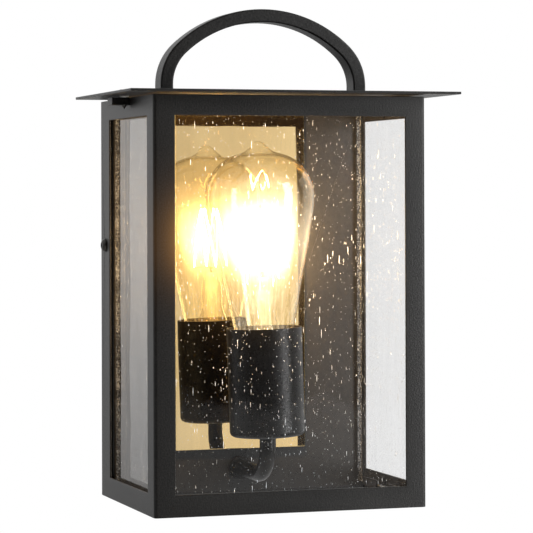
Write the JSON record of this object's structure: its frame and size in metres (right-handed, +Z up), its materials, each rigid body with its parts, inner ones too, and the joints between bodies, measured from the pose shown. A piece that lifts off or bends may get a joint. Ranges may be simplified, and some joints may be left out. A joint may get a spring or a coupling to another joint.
{
  "type": "outdoor wall lantern",
  "caption": "Rectangular outdoor wall lantern: folded black sheet cage with seeded glass windows, flat roof with arched handle, mirror back and screw-base lamp.",
  "frame": {"origin": "centre of the outlet-box screw pattern, on the wall plane behind the bracket", "axes": "+Z up, -Y out of the wall towards the viewer, +X to the right of someone facing the lantern"},
  "size_m": [0.1956, 0.1342, 0.2884],
  "materials": {
    "black_coat": "fine-textured matte powder coat on sheet steel",
    "black_screw": "black painted steel screw",
    "zinc_steel": "zinc plated steel",
    "green_screw": "green dyed ground screw",
    "gold_mirror": "gold-tinted polished mirror",
    "foam_tape": "double-sided foam tape",
    "seeded_glass": "clear seeded glass with small bubbles and streaks",
    "nylon": "natural nylon",
    "ceramic": "white porcelain",
    "brass": "nickel-brass sheet",
    "wire_black": "black insulated lead",
    "wire_white": "white insulated lead",
    "black_insulator": "black glass insulator",
    "solder": "solder blob",
    "amber_glass": "amber-tinted clear bulb glass",
    "clear_glass": "clear stem glass",
    "support_wire": "nickel and molybdenum wire",
    "filament": "carbonised filament, glowing when lit"
  },
  "bodies": {
    "wall_bracket": {"wall_bracket": "zinc_steel", "ground_screw": "green_screw"},
    "lantern": {"cage": "black_coat", "back_pan": "black_coat", "mirror_tape": "foam_tape", "mirror_panel": "gold_mirror", "front_glass": "seeded_glass", "left_glass": "seeded_glass", "right_glass": "seeded_glass", "front_glass_tabs": "black_coat", "left_glass_tabs": "black_coat", "right_glass_tabs": "black_coat", "lug_left": "black_coat", "lug_right": "black_coat", "roof_spacers": "nylon", "side_nuts": "zinc_steel", "socket_arm": "black_coat", "arm_collar": "black_coat", "arm_locknut": "zinc_steel", "cup_washer": "black_coat", "socket_cup": "black_coat", "cup_nut": "zinc_steel", "lamp_holder": "ceramic", "screw_shell": "brass", "centre_contact": "brass", "terminal_block": "nylon", "lead_live": "wire_black", "lead_neutral": "wire_white"},
    "roof": {"roof_plate": "black_coat", "handle_loop": "black_coat", "handle_screws": "black_screw"},
    "roof_screw_left": {"roof_screw_left": "black_screw"},
    "roof_screw_right": {"roof_screw_right": "black_screw"},
    "side_screw_left": {"side_screw_left": "black_screw"},
    "side_screw_right": {"side_screw_right": "black_screw"},
    "bulb": {"bulb_cap": "brass", "bulb_insulator": "black_insulator", "bulb_contact": "solder", "bulb_glass": "amber_glass", "bulb_stem": "clear_glass", "bulb_supports": "support_wire", "bulb_filament": "filament"}
  },
  "joints": [
    {"name": "lantern_slide", "type": "slide", "parent": "wall_bracket", "child": "lantern", "axis": [0, -1, 0], "range_m": [0, 0.06]},
    {"name": "roof_lift", "type": "slide", "parent": "lantern", "child": "roof", "axis": [0, 0, 1], "range_m": [0, 0.06]},
    {"name": "roof_screw_left_turn", "type": "hinge", "parent": "roof", "child": "roof_screw_left", "pos_m": [-0.0836, -0.0659, 0.0884], "axis": [0, 0, 1], "continuous": true},
    {"name": "roof_screw_right_turn", "type": "hinge", "parent": "roof", "child": "roof_screw_right", "pos_m": [0.0836, -0.0659, 0.0884], "axis": [0, 0, 1], "continuous": true},
    {"name": "side_screw_left_turn", "type": "hinge", "parent": "lantern", "child": "side_screw_left", "pos_m": [-0.081, -0.0108, 0], "axis": [-1, 0, 0], "continuous": true},
    {"name": "side_screw_right_turn", "type": "hinge", "parent": "lantern", "child": "side_screw_right", "pos_m": [0.081, -0.0108, 0], "axis": [1, 0, 0], "continuous": true},
    {"name": "bulb_turn", "type": "hinge", "parent": "lantern", "child": "bulb", "pos_m": [0, -0.0744, -0.1122], "axis": [-0.0314, 0, 0.9995], "continuous": true}
  ]
}
